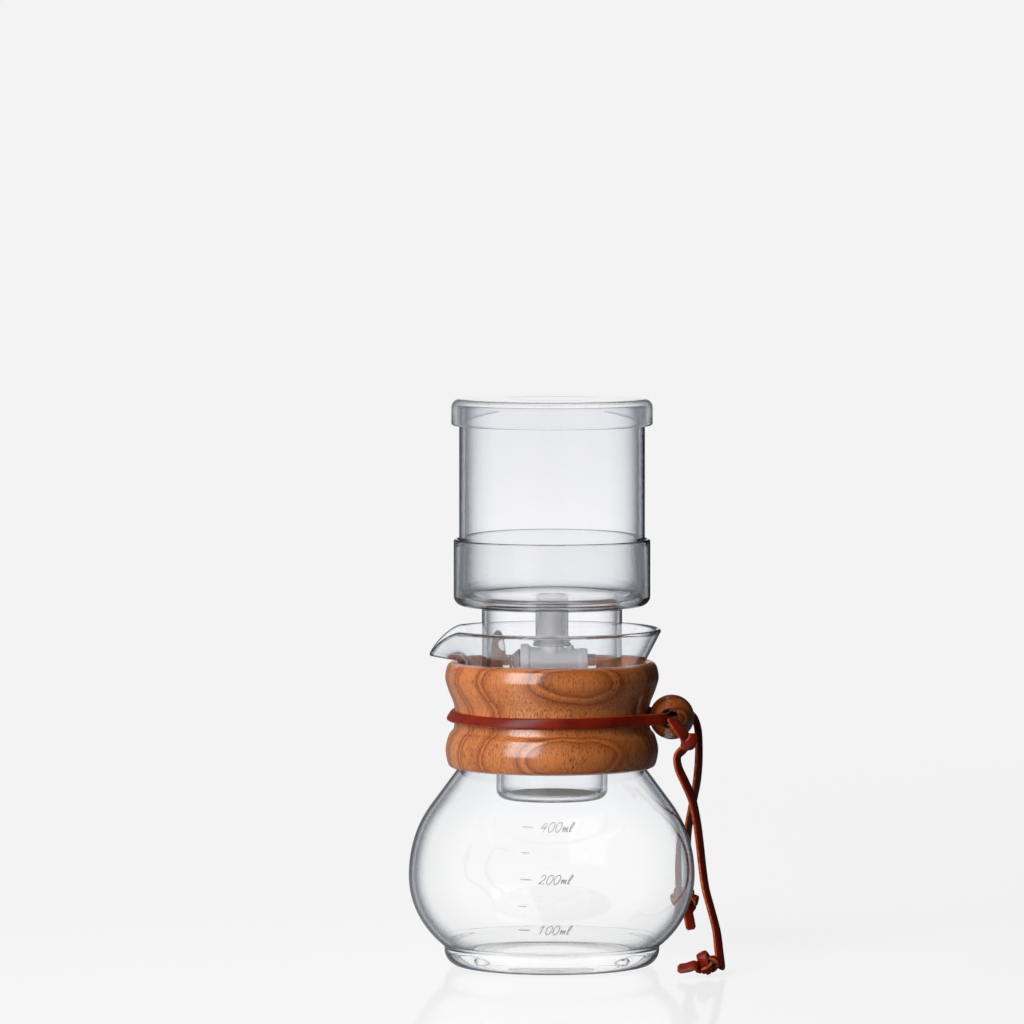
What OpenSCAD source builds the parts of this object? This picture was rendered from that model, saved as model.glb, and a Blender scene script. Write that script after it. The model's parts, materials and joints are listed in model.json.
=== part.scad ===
// Cold drip coffee tower, in millimetres.
// A glass carafe wears a wooden collar in two halves, tied with a leather thong and a bead.
// A stepped glass dripper sits in its flare, and a water vessel with a ground-glass tap
// stands in the dripper's dish under a loose glass lid.
// Up is +Z, the spout points to -X and the bead sits near +X. The origin is the middle of
// the foot, on the table.

/* [Carafe] */
// Largest outer radius of the bulb
bulb_r = 57.4; // [54:0.1:70]
// Radius of the bulb's curve below its widest point
bulb_low_arc = 36; // [32:0.5:38]
// Radius of the bulb's curve above its widest point
bulb_high_arc = 48; // [40:0.5:52]
// Angle of the shoulder from the vertical
shoulder_angle = 36.4; // [32:0.1:42]
// Outer radius of the glass at the neck
neck_r = 27.3; // [22:0.1:33]
// Radius of the hollow curve of the neck
neck_arc = 16; // [12:0.5:20]
// Angle of the flare above the neck from the vertical
flare_angle = 27.3; // [24:0.1:32]
// Height of the flare, from the neck to the rim
flare_h = 35.4; // [31:0.1:46]
// Thickness of the carafe's wall
carafe_wall = 2; // [1.6:0.1:2.6]
// Outer radius of the foot ring
foot_r = 43.1; // [38:0.1:46]
// Height at which the bulb leaves the foot ring
foot_h = 8.6; // [7.8:0.1:12]
// Height of the hollow under the foot
punt_h = 2.2; // [1:0.1:4]

/* [Spout] */
// How far the lip stands out past the rim
spout_reach = 4.6; // [3:0.1:8]
// How far the lip dips below the rim
spout_dip = 9.8; // [6:0.1:11]
// Half of the angle that the spout takes of the rim
spout_half_angle = 30; // [22:1:45]

/* [Collar] */
// Height of the collar
collar_h = 42.4; // [36:0.1:44]
// Length of the collar below the neck
collar_below = 18.8; // [16:0.1:20]
// Thickness of the wood at the neck
collar_waist_t = 11.7; // [10:0.1:14]
// How far the two bulges stand out from the glass at the collar's ends
collar_bulge_t = 5.3; // [4:0.1:7]
// Gap between the two halves of the collar
collar_split = 0.4; // [0.2:0.1:1]

/* [Thong] */
// Width of the leather thong
thong_w = 4.6; // [3.5:0.1:5.4]
// Thickness of the leather thong
thong_t = 1.8; // [1.2:0.1:2.2]
// Diameter of the bead
bead_d = 18; // [15:0.1:18]
// Diameter of the hole through the bead
bead_bore = 6.8; // [6:0.1:7.5]
// Angle of the bead from +X round to the front
bead_turn = 8; // [0:1:15]

/* [Dripper] */
// Play between the brew chamber and the neck
neck_play = 3; // [1:0.1:5]
// Height of the brew chamber
brew_h = 39.2; // [30:0.1:48]
// Width of the ledge that sits in the flare
ledge_w = 5.8; // [5.6:0.1:8]
// Width of the shelf that the water vessel stands on
shelf_w = 11.3; // [10.5:0.1:15]
// Height of the dish
dish_h = 26.8; // [20:0.1:36]
// Thickness of the dripper's wall
dripper_wall = 1.8; // [1.4:0.1:2.2]
// Radius of the outer corners under each step
dripper_corner = 4; // [3:0.1:4]
// Radius of the fillet in the angle of each step
dripper_fillet = 1.5; // [0.8:0.1:1.6]
// Diameter of a drip hole
drip_d = 1.6; // [1:0.1:2.5]
// Thickness of the round filter
filter_t = 0.8; // [0.5:0.1:1.5]

/* [Water vessel] */
// Height of the vessel's cylinder
vessel_h = 79; // [60:0.5:100]
// Thickness of the vessel's wall
vessel_wall = 2; // [1.6:0.1:2.6]
// Radius of the corner round the vessel's bottom
vessel_corner = 6; // [4:0.1:7]
// Gap between the vessel and the wall of the dish
vessel_gap = 0.4; // [0.3:0.1:1]
// Outer diameter of the socket for the tap
socket_d = 13.2; // [12.4:0.1:15]

/* [Tap] */
// Depth of the tap's axis below the vessel
tap_drop = 24.8; // [22:0.1:30]
// Length of the barrel left of the nozzle
barrel_left = 12.6; // [11:0.1:13]
// Length of the barrel right of the nozzle
barrel_right = 14.2; // [12:0.1:16]
// Radius of the barrel's left end
barrel_r_left = 7.2; // [6.8:0.1:8]
// Radius of the barrel's right end
barrel_r_right = 5.9; // [5.6:0.1:6.6]
// Radius of the flange on the barrel's left end
flange_r = 8.1; // [7.5:0.1:8.6]
// Outer diameter of the nozzle
nozzle_d = 6.5; // [5.5:0.1:8]
// Inner diameter of the nozzle
nozzle_bore = 4.4; // [3:0.1:4.8]
// Length of the nozzle below the tap's axis
nozzle_h = 19.6; // [15:0.1:24]
// Half of the handle's height
handle_half_h = 13.2; // [10:0.1:15]
// Half of the handle's width
handle_half_w = 3.4; // [2.6:0.1:3.8]
// Gap round the handle in any position
handle_gap = 0.33; // [0.25:0.01:1]
// Gap between the plug and its ground bore
plug_gap = 0.08; // [0.03:0.01:0.1]

/* [Lid] */
// Height of the lid
lid_h = 10.8; // [8:0.1:16]
// Thickness of the lid
lid_wall = 2.2; // [1.6:0.1:3]
// Gap between the lid and the vessel
lid_gap = 0.9; // [0.5:0.1:2]
// Radius of the lid's shoulder
lid_arc = 3.6; // [2.6:0.1:6]

/* [Hidden] */
$fn = 96;
glass = [0.80, 0.85, 0.88, 0.45];
frosted = [0.72, 0.73, 0.75];
wood = [0.66, 0.34, 0.14];
wood_dark = [0.45, 0.20, 0.10];
leather = [0.48, 0.15, 0.08];

touch = 0.15;        // gap between fitted pieces that don't move on each other
seat_gap = 0.2;      // gap between the dripper's ledge and the flare
slop = 0.01;         // how far a cut runs past a face

// Carafe: the bulb's two arcs, the shoulder, the neck and the flare run into each other.
foot_crease = 0.9;
foot_arc = 6.6;
foot_flat_w = 3;
low_c = [bulb_r - bulb_low_arc,
    foot_h + sqrt(pow(bulb_low_arc, 2) - pow(foot_r + foot_crease - bulb_r + bulb_low_arc, 2))];
high_c = [bulb_r - bulb_high_arc, low_c[1]];
shoulder_r = high_c[0] + bulb_high_arc*cos(shoulder_angle);
shoulder_z = high_c[1] + bulb_high_arc*sin(shoulder_angle);
neck_foot_r = neck_r + neck_arc*(1 - cos(shoulder_angle));
neck_z = shoulder_z + (shoulder_r - neck_foot_r)/tan(shoulder_angle)
    + neck_arc*sin(shoulder_angle);
neck_c = [neck_r + neck_arc, neck_z];
flare_foot = neck_c - neck_arc*[cos(flare_angle), -sin(flare_angle)];
rim_z = neck_z + flare_h;
rim_r = flare_foot[0] + (rim_z - flare_foot[1])*tan(flare_angle);

// Collar
collar_z = neck_z - collar_below;
collar_top = collar_z + collar_h;
waist_r = neck_r + collar_waist_t;
waist_z = neck_z + 1.5;
low_bulge_r = glass_r(collar_z) + collar_bulge_t;
high_bulge_r = glass_r(collar_top) + collar_bulge_t;

// Dripper: each step is measured out from the neck that it has to pass.
brew_r = neck_r - carafe_wall - neck_play;
mug_r = brew_r + ledge_w;
dish_r = mug_r + shelf_w;
inner_flare_foot = neck_c - (neck_arc + carafe_wall)*[cos(flare_angle), -sin(flare_angle)];
ledge_play = (inner_flare_foot[0] - mug_r + dripper_corner)*cos(flare_angle)
    - dripper_corner - seat_gap;
ledge_z = inner_flare_foot[1] - ledge_play/sin(flare_angle) - dripper_corner;
brew_z = ledge_z - brew_h;
handle_floor_gap = 0.8;
mug_h = tap_drop + handle_half_h + handle_floor_gap;
shelf_z = ledge_z + mug_h;
dish_top = shelf_z + dish_h;

// Water vessel, tap and lid
vessel_z = shelf_z + dripper_wall;
vessel_r = dish_r - dripper_wall - vessel_gap;
vessel_top = vessel_z + vessel_h;
tap_z = vessel_z - tap_drop;
socket_z = tap_z + barrel_r_left + 0.2;
socket_top_bore = 8.4;
socket_taper = 0.1;  // change of a ground joint's diameter for each unit of its length
plug_end = barrel_right + 3.4;
plug_end_r = 4;
mug_bore_r = mug_r - dripper_wall - handle_gap;
handle_x = -sqrt((pow(mug_bore_r, 2) - pow(handle_half_h, 2))
    *(pow(handle_half_h, 2) - pow(handle_half_w, 2)))/handle_half_h;
lid_bore_r = vessel_r + lid_gap;
lid_r = lid_bore_r + lid_wall;
lid_top = vessel_top + lid_wall;

// Thong: the bead hangs at the waist, and both ends of the thong pass through its hole.
band_r = waist_r + touch + thong_t/2;
bead_r = bead_d/2;
bead_x = waist_r + touch + bead_r + 0.2;
bead_z = waist_z + 0.3;
strand_x = 0.15 + thong_t/2;
cord_d = 2.8;

// Free tails: the long one knots under the bead and ends on the table, the short one hangs
// behind the bulb.
long_route = [[49.4, -7.4, 100], [48.6, -12, 100], [48.2, -16, 99.6], [49, -18.4, 98],
    [51.2, -18.4, 95.4], [53.4, -16.2, 92.6], [54.4, -13, 90.4], [52.4, -12, 87.8],
    [50, -12, 84.8], [50.6, -12, 80], [53, -11, 74.6], [56, -9, 67.4], [58, -7, 58],
    [59.2, -5.6, 49], [60.2, -6, 40], [61.4, -8, 31.6], [63.6, -12, 23.4], [65.6, -17.4, 15.6],
    [66.4, -23.6, 8.6], [66.8, -29.4, 4.4], [66.4, -34.6, 3.2], [65, -38.6, 4.6]];
short_route = [[49.6, -6, 100], [50.2, -2, 100.2], [50.8, 2, 100.6], [51.8, 5.8, 101.2],
    [54.2, 8.2, 101], [57.2, 7.6, 98.6], [58.6, 6, 94.4], [59, 4.6, 88], [58.8, 4, 80],
    [58, 5, 72], [56.6, 9, 64], [55.2, 15, 55], [54.4, 21.8, 46], [54.2, 24.4, 37],
    [54.6, 24.2, 28]];
long_knot_at = [61, -43, 4.5];
short_knot_at = [54.8, 23.6, 24];
bead_knot_at = [54.6, -14, 91.2];

// Points on an arc about c, from one angle to another.
function arc(c, r, from, to, n = 12) =
    [for (i = [0:n]) let (a = from + (to - from)*i/n) c + r*[cos(a), sin(a)]];

// The list turned end for end.
function back(p) = [for (i = [len(p) - 1:-1:0]) p[i]];

// Convex corner at the bottom of a cylinder of radius r that stands at height z.
function corner(r, z, q) = arc([r - q, z + q], q, -90, 0);

// Hollow corner where a cylinder of radius r meets the underside of a wider step at height z.
function hollow(r, z, q) = arc([r + q, z - q], q, 180, 90);

// Rounded upper edge of a wall whose outer face has radius r and which ends at height z.
function rim(r, z, wall) = arc([r - wall/2, z - wall/2], wall/2, 0, 180, 8);

// Points on a smooth curve through the control points p.
function at(p, i) = p[max(0, min(len(p) - 1, i))];
function blend(a, b, c, d, t) =
    0.5*(2*b + (c - a)*t + (2*a - 5*b + 4*c - d)*t*t + (3*b - a - 3*c + d)*t*t*t);
function curve(p, n = 6) = concat([for (i = [0:len(p) - 2], k = [0:n - 1])
    blend(at(p, i - 1), p[i], p[i + 1], at(p, i + 2), k/n)], [p[len(p) - 1]]);

// Outer radius of the glass at a height between the shoulder and the rim.
function glass_r(z) =
    z < neck_z - neck_arc*sin(shoulder_angle)
        ? neck_foot_r + (neck_z - neck_arc*sin(shoulder_angle) - z)*tan(shoulder_angle)
    : z > flare_foot[1] ? flare_foot[0] + (z - flare_foot[1])*tan(flare_angle)
    : neck_c[0] - sqrt(pow(neck_arc, 2) - pow(z - neck_z, 2));

// Wall of the carafe from the foot up to height z, moved in by t from its outer face.
function carafe_side(t, z, low_angle) = concat(
    arc(low_c, bulb_low_arc - t, low_angle, 0, 16),
    arc(high_c, bulb_high_arc - t, 3, shoulder_angle, 10),
    arc(neck_c, neck_arc + t, 180 + shoulder_angle, 180 - flare_angle, 14),
    [[glass_r(z) - t/cos(flare_angle), z]]);

module revolve(points, turn = 360) rotate_extrude(angle = turn) polygon(points);

// A body of revolution about Z with an elliptical outline.
module seed(half_w, half_h) {
    n = 16;
    revolve([for (i = [0:n]) let (a = 90 - 180*i/n) [half_w*cos(a), half_h*sin(a)]]);
}

// A tube of diameter d swept along a route.
module tube(route, d, sides = 8) {
    n = len(route);
    function along(i) = let (v = at(route, i + 1) - at(route, i - 1)) v/norm(v);
    function ring(i) = let (
        u0 = cross(along(i), [1, 0, 0]),
        u = u0/norm(u0),
        v = cross(along(i), u))
        [for (k = [0:sides - 1]) route[i] + d/2*(cos(360*k/sides)*u + sin(360*k/sides)*v)];
    points = [for (i = [0:n - 1]) each ring(i)];
    walls = [for (i = [0:n - 2], k = [0:sides - 1]) let (
        a = i*sides + k, b = i*sides + (k + 1)%sides)
        each [[a, a + sides, b], [b, a + sides, b + sides]]];
    ends = [[for (k = [0:sides - 1]) k], [for (k = [sides - 1:-1:0]) (n - 1)*sides + k]];
    polyhedron(points, concat(walls, ends));
}

// ---- Lid ----
module lid() color(glass) difference() {
    revolve(concat([[0, lid_top]], arc([lid_r - lid_arc, lid_top - lid_arc], lid_arc, 90, 0),
        back(rim_below(lid_r, lid_top - lid_h, lid_wall)),
        arc([lid_r - lid_arc, lid_top - lid_arc], lid_arc - lid_wall, 0, 90),
        [[0, lid_top - lid_wall]]));
}

// Rounded lower edge of a wall, in order from its inner to its outer face.
function rim_below(r, z, wall) = arc([r - wall/2, z + wall/2], wall/2, 180, 360, 8);

// ---- Water vessel ----
module water_vessel() color(glass) {
    socket_r = socket_d/2;
    neck_fillet = 1.6;
    mouth_r = socket_top_bore/2 + (vessel_z - socket_z)*socket_taper/2;
    revolve(concat(
        [[mouth_r, socket_z], [socket_r + 0.5, socket_z]],
        arc([socket_r + 0.5, socket_z + 0.7], 0.7, -90, 90, 6),
        [[socket_r, socket_z + 2.2]],
        hollow(socket_r, vessel_z, neck_fillet),
        corner(vessel_r, vessel_z, vessel_corner),
        rim(vessel_r, vessel_top, vessel_wall),
        back(corner(vessel_r - vessel_wall, vessel_z + vessel_wall, vessel_corner - vessel_wall)),
        back(hollow(socket_top_bore/2, vessel_z + vessel_wall, 2)),
        [[socket_top_bore/2, vessel_z - 0.6]]));
}

// ---- Tap ----
function plug_r(x) = plug_end_r + (plug_end - x)*socket_taper/2;

module along_x() rotate([0, 90, 0]) children();

// A tapered round bar along X, from x0 to x1.
module taper_x(x0, x1, r0, r1) translate([x0, 0, tap_z]) along_x() cylinder(x1 - x0, r0, r1);

module tap_body() color(frosted) {
    ground_top = vessel_z - 1.6;
    ground_r = socket_top_bore/2 - touch + (vessel_z - ground_top)*socket_taper/2;
    ground_foot_r = ground_r + (ground_top - tap_z)*socket_taper/2;
    end_ring = 3;
    difference() {
        union() {
            taper_x(-barrel_left, barrel_right, barrel_r_left, barrel_r_right);
            taper_x(-barrel_left, -barrel_left + 3.4, flange_r, flange_r);
            taper_x(barrel_right - end_ring, barrel_right, barrel_r_right + 0.4, barrel_r_right + 0.3);
            translate([0, 0, tap_z]) cylinder(ground_top - tap_z, ground_foot_r, ground_r);
            translate([0, 0, tap_z - nozzle_h]) cylinder(nozzle_h, d = nozzle_d);
            translate([0, 0, tap_z - nozzle_h]) cylinder(1.4, d = nozzle_d + 0.6);
            translate([0, 0, tap_z - barrel_r_left - 0.8]) cylinder(3, 3.6, 5);
        }
        taper_x(-barrel_left - slop, barrel_right + slop,
            plug_r(-barrel_left) + plug_gap, plug_r(barrel_right) + plug_gap);
        translate([0, 0, tap_z - nozzle_h - slop]) cylinder(nozzle_h, d = nozzle_bore);
        translate([0, 0, tap_z]) cylinder(ground_top - tap_z + slop, d = 3.4);
    }
}

module tap_plug() color(glass) {
    collar_l = 4;
    stem_r = 3.4;
    difference() {
        union() {
            taper_x(-barrel_left - touch, plug_end, plug_r(-barrel_left), plug_r(plug_end));
            taper_x(-barrel_left - touch - collar_l, -barrel_left - touch, stem_r, 6.2);
            taper_x(handle_x, -barrel_left - touch, stem_r, stem_r);
            taper_x(plug_end - 1, plug_end, plug_end_r + 0.15, plug_end_r + 0.15);
            translate([handle_x, 0, tap_z]) seed(handle_half_w, handle_half_h);
        }
        translate([0, 0, tap_z - barrel_r_left]) cylinder(2*barrel_r_left, d = 2.6);
    }
}

// ---- Dripper ----
// The stepped wall, moved in by t from its outer face.
function dripper_side(t) = concat(
    [[0, brew_z + t]],
    corner(brew_r - t, brew_z + t, dripper_corner - t),
    hollow(brew_r - t, ledge_z + t, dripper_fillet + t),
    corner(mug_r - t, ledge_z + t, dripper_corner - t),
    hollow(mug_r - t, shelf_z + t, dripper_fillet + t),
    corner(dish_r - t, shelf_z + t, dripper_corner - t));

module drip_holes() {
    rings = [[0, 1], [5, 6], [10.5, 12]];
    for (ring = rings, k = [0:ring[1] - 1])
        rotate(k*360/ring[1]) translate([ring[0], 0, brew_z - slop])
            cylinder(dripper_wall + 2*slop, d = drip_d);
}

module dripper() color(glass) difference() {
    revolve(concat(dripper_side(0), rim(dish_r, dish_top, dripper_wall),
        back(dripper_side(dripper_wall))));
    drip_holes();
}

module filter_disc() color("white")
    translate([0, 0, brew_z + dripper_wall]) cylinder(filter_t, r = brew_r - dripper_corner - touch);

// ---- Carafe ----
// Height where the turned glass ends and the shaped lip begins, hidden in the collar.
lip_z = collar_top - 1.6;
lip_free_z = collar_top + 0.3;
lip_rows = 7;
lip_steps = 96;

// 1 in the middle of the spout, falling to 0 at its sides.
function pull(a) = let (off = abs(a - 180)/spout_half_angle)
    off < 1 ? pow(1 - off, 1.5) : 0;

// Outer face of the lip in the plane at pull w: s runs from the collar up to the rim.
function lip_face(s, w) = let (
    foot = [glass_r(lip_free_z), lip_free_z],
    plain = foot + s*([rim_r, rim_z] - foot),
    tip = [rim_r + spout_reach, rim_z - spout_dip],
    bend = foot + [0.3*(tip[0] - foot[0]), 0.15*(tip[1] - foot[1])],
    drawn = (1 - s)*(1 - s)*foot + 2*s*(1 - s)*bend + s*s*tip)
    plain + w*(drawn - plain);

// Point of the lip at s, moved in by t across the wall.
function lip_point(s, w, t) = let (
    d = lip_face(min(1, s + 0.02), w) - lip_face(max(0, s - 0.02), w),
    n = [-d[1], d[0]]/norm(d))
    lip_face(s, w) + t*n;

// Section of the lip at pull w: a tongue inside the turned wall, the outer face up to the
// rim, the rounded edge, and the inner face down again.
function lip_section(w) = let (
    t = carafe_wall,
    dx = 1/cos(flare_angle),
    tongue = 0.35*t,
    top = lip_point(1, w, t/2),
    d = lip_face(1, w) - lip_face(0.95, w),
    up = d/norm(d))
    concat(
        [[glass_r(lip_z - 0.7) - tongue*dx, lip_z - 0.7]],
        [[glass_r(lip_z + 0.7), lip_z + 0.7]],
        [for (i = [0:lip_rows]) lip_face(i/lip_rows, w)],
        [top + 0.35*t*[up[1], -up[0]] + 0.36*t*up, top + 0.5*t*up,
            top - 0.35*t*[up[1], -up[0]] + 0.36*t*up],
        [for (i = [lip_rows:-1:0]) lip_point(i/lip_rows, w, t)],
        [[glass_r(lip_z + 0.7) - t*dx, lip_z + 0.7]],
        [[glass_r(lip_z - 0.7) - (t - tongue)*dx, lip_z - 0.7]]);

module lip() {
    m = len(lip_section(0));
    points = [for (k = [0:lip_steps - 1]) let (a = 360*k/lip_steps, s = lip_section(pull(a)))
        each [for (q = s) [q[0]*cos(a), q[0]*sin(a), q[1]]]];
    faces = [for (k = [0:lip_steps - 1], i = [0:m - 1]) let (
        k2 = (k + 1)%lip_steps, i2 = (i + 1)%m)
        each [[k*m + i, k*m + i2, k2*m + i], [k*m + i2, k2*m + i2, k2*m + i]]];
    polyhedron(points, faces);
}

module carafe() color(glass) {
    floor_arc = 9;
    floor_z = punt_h + carafe_wall;
    inner_low = bulb_low_arc - carafe_wall;
    floor_c = [low_c[0] + sqrt(pow(inner_low - floor_arc, 2)
        - pow(low_c[1] - floor_z - floor_arc, 2)), floor_z + floor_arc];
    floor_angle = atan2(floor_c[1] - low_c[1], floor_c[0] - low_c[0]);
    bulb_angle = -acos((foot_r + foot_crease - low_c[0])/bulb_low_arc);
    foot_c = [foot_r - foot_arc, foot_arc];
    revolve(concat(
        [[0, punt_h], [foot_c[0] - foot_flat_w - 4, punt_h - 0.4], [foot_c[0] - foot_flat_w, 0]],
        arc(foot_c, foot_arc, -90, 0),
        [[foot_r, foot_h - 0.9]],
        carafe_side(0, lip_z, bulb_angle),
        back(carafe_side(carafe_wall, lip_z, floor_angle)),
        back(arc(floor_c, floor_arc, -90, floor_angle - 2, 6)),
        [[0, floor_z]]));
    lip();
}

// ---- Collar ----
module collar() {
    outer = curve([
        [low_bulge_r - 2.6, collar_z], [low_bulge_r - 1.2, collar_z + 1], [low_bulge_r - 0.3, collar_z + 4],
        [low_bulge_r, collar_z + 8], [low_bulge_r - 1.3, collar_z + 13], [waist_r + 0.4, waist_z - 4.6],
        [waist_r, waist_z], [waist_r + 0.3, waist_z + 5], [high_bulge_r - 1.3, collar_top - 11.4],
        [high_bulge_r, collar_top - 6.6], [high_bulge_r - 0.5, collar_top - 2.8],
        [high_bulge_r - 1.4, collar_top - 0.9], [high_bulge_r - 2.8, collar_top]]);
    difference() {
        revolve(concat([[neck_r/2, collar_z]], outer, [[neck_r/2, collar_top]]));
        revolve(concat([[0, collar_z - slop], [glass_r(collar_z - slop) + touch, collar_z - slop]],
            carafe_neck(touch),
            [[glass_r(collar_top + slop) + touch, collar_top + slop], [0, collar_top + slop]]));
    }
}

// Hollow curve of the neck, moved out by t from the glass.
function carafe_neck(t) =
    arc(neck_c, neck_arc - t, 180 + shoulder_angle, 180 - flare_angle, 14);

// Keeps the half of what it is given that lies to one side of the split.
module half(side) intersection() {
    children();
    big = 4*waist_r;
    translate([-big/2, side > 0 ? collar_split/2 : -big - collar_split/2, collar_z - 1])
        cube([big, big, collar_h + 2]);
}

module collar_front() color(wood) half(-1) collar();

module collar_back() color(wood) half(1) collar();

// ---- Thong and bead ----
// Middle line of the band in plan, with the bead on +X: from the middle of the bead's hole
// to its front mouth, to the collar and round it as far as the back.
mouth = [bead_x - strand_x, -bead_r - 0.6];
mouth_arc = 2.4;
reach = norm(mouth);
leave_angle = atan2(mouth[1], mouth[0]) - acos(band_r/reach);
lead = [-sin(leave_angle), cos(leave_angle)];
bend_angle = 90 - atan2(lead[1], lead[0]);
bend_back = mouth_arc*tan(bend_angle/2);
bend_c = mouth + bend_back*[0, 1] - mouth_arc*[1, 0];
half_band = concat([[mouth[0], -0.3]], arc(bend_c, mouth_arc, 0, -bend_angle, 5),
    arc([0, 0], band_r, leave_angle, -178, 26));
band = concat(half_band, [for (p = back(half_band)) [p[0], -p[1]]]);

function side_of(p, t) = [for (i = [0:len(p) - 1]) let (
    d = at(p, i + 1) - at(p, i - 1), n = [-d[1], d[0]]/norm(d)) p[i] + t*n];

module thong_band() color(leather) rotate(-bead_turn)
    translate([0, 0, bead_z - thong_w/2]) linear_extrude(thong_w)
        polygon(concat(side_of(band, thong_t/2), back(side_of(band, -thong_t/2))));

module bead() color(wood_dark) rotate(-bead_turn) translate([bead_x, 0, bead_z]) difference() {
    sphere(bead_r);
    rotate([90, 0, 0]) cylinder(bead_d, d = bead_bore, center = true);
    for (side = [-1, 1]) rotate([90*side, 0, 0]) translate([0, 0, bead_r - 1.6])
        cylinder(3, bead_bore/2, bead_bore/2 + 3);
}

module bead_knot() color(leather) translate(bead_knot_at) rotate([0, 60, 20]) seed(2.7, 4.4);

module thong_tail_long() color(leather) tube(long_route, cord_d);

module thong_tail_short() color(leather) tube(short_route, cord_d);

// A knot with the cut end of the thong standing out of it.
module end_knot(half_w, half_h, end_l) {
    seed(half_w, half_h);
    rotate([180, 0, 0]) cylinder(half_h + end_l, d = cord_d);
}

module knot_long() color(leather) translate(long_knot_at) rotate([0, 80, 35]) end_knot(4.3, 6.2, 6);

module knot_short() color(leather) translate(short_knot_at) end_knot(3.6, 4.4, 8);

lid();
water_vessel();
tap_body();
tap_plug();
dripper();
filter_disc();
carafe();
collar_front();
collar_back();
thong_band();
bead();
bead_knot();
thong_tail_long();
knot_long();
thong_tail_short();
knot_short();
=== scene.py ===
import json
import math

import bmesh
import bpy
from mathutils import Matrix, Vector, noise

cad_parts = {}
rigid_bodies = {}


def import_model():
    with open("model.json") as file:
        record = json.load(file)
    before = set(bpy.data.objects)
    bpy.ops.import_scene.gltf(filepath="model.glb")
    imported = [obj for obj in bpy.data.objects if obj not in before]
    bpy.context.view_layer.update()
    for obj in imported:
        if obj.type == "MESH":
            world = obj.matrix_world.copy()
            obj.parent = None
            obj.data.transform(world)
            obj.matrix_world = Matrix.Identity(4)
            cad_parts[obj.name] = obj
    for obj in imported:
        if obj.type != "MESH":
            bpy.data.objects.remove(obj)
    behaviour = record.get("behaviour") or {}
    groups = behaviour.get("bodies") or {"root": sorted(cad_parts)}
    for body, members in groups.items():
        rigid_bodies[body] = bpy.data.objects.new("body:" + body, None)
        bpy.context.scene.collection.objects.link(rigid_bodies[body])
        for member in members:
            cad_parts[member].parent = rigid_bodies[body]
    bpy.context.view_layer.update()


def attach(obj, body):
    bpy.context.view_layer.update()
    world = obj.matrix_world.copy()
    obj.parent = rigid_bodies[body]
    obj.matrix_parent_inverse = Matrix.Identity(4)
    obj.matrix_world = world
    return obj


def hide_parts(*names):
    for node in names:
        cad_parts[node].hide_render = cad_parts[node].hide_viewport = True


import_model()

# Cold drip coffee tower. Lengths below are millimetres, as in the CAD source, and become
# metres where a mesh is made. The camera and the leather are made first, then glass, wood,
# marks, floor and light.

scene = bpy.context.scene
scene.view_settings.view_transform = "Standard"
MM = 0.001
AIR = 0.06           # gap kept between glass faces that lie on each other
SHARP = 35.0         # degrees from which an edge between two faces shows


def placed(name, data):
    """A new object in the scene."""
    obj = bpy.data.objects.new(name, data)
    scene.collection.objects.link(obj)
    return obj


def shaded(mesh, sharp=SHARP):
    """The mesh, smoothly shaded but for its sharp edges."""
    mesh.shade_smooth()
    mesh.set_sharp_from_angle(angle=math.radians(sharp))
    return mesh


# ---- Camera: a long lens a little above the tower, 0.4 mm a pixel ----

SENSOR, LENS = 36.0, 298.8
CAMERA_AT = (-0.016, -3.394, 0.386)
LOOKS_DOWN = 3.44    # degrees


def make_camera():
    data = bpy.data.cameras.new("camera")
    data.sensor_width = SENSOR
    data.lens = LENS
    camera = placed("camera", data)
    camera.location = CAMERA_AT
    camera.rotation_euler = (math.radians(90 - LOOKS_DOWN), 0, 0)
    scene.camera = camera


# ---- Lines and meshes ----

def arc(c, r, start, end, n=16):
    """Points on an arc about c, from one angle in degrees to another."""
    angles = [math.radians(start + (end - start) * i / n) for i in range(n + 1)]
    return [(c[0] + r * math.cos(a), c[1] + r * math.sin(a)) for a in angles]


def smooth_line(points, n):
    """A smooth curve through the points, as vectors, n to each stretch."""
    p = [Vector(q) for q in points]
    p = [2 * p[0] - p[1]] + p + [2 * p[-1] - p[-2]]
    out = []
    for a, b, c, d in zip(p, p[1:], p[2:], p[3:]):
        for k in range(n):
            t = k / n
            out.append(0.5 * (2 * b + (c - a) * t + (2 * a - 5 * b + 4 * c - d) * t * t
                              + (3 * b - a - 3 * c + d) * t ** 3))
    return out + [p[-2]]


def cut_corners(points, times):
    """The open line with its corners cut some times, its two ends kept."""
    for _ in range(times):
        out = [points[0]]
        for a, b in zip(points, points[1:]):
            out += [tuple(x + (y - x) * share for x, y in zip(a, b)) for share in (0.25, 0.75)]
        points = out + [points[-1]]
    return points


def revolved(profile, steps=192, start=0.0, end=360.0):
    """A body of revolution about Z. The profile is a closed loop of (radius, height), or a
    function that gives one for an angle in degrees. Points on the axis become poles."""
    at = profile if callable(profile) else (lambda angle: profile)
    full = end - start == 360.0
    rows = steps if full else steps + 1
    first = at(start)
    n = len(first)
    poles = [i for i in (0, n - 1) if first[i][0] < 1e-6]
    verts, index = [], {}
    for k in range(rows):
        degrees = start + (end - start) * k / steps
        a = math.radians(degrees)
        for i, (r, z) in enumerate(at(degrees)):
            if i in poles and k > 0:
                index[k, i] = index[0, i]
                continue
            index[k, i] = len(verts)
            verts.append((r * math.cos(a), r * math.sin(a), z))
    faces = []
    for k in range(steps):
        k2 = (k + 1) % rows
        for i in range(n - 1 if poles else n):
            j = (i + 1) % n
            face = list(dict.fromkeys([index[k, i], index[k2, i], index[k2, j], index[k, j]]))
            if len(face) > 2:
                faces.append(face)
    if not full:
        faces.append([index[0, i] for i in range(n)])
        faces.append([index[rows - 1, i] for i in range(n)][::-1])
    return verts, faces


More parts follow.
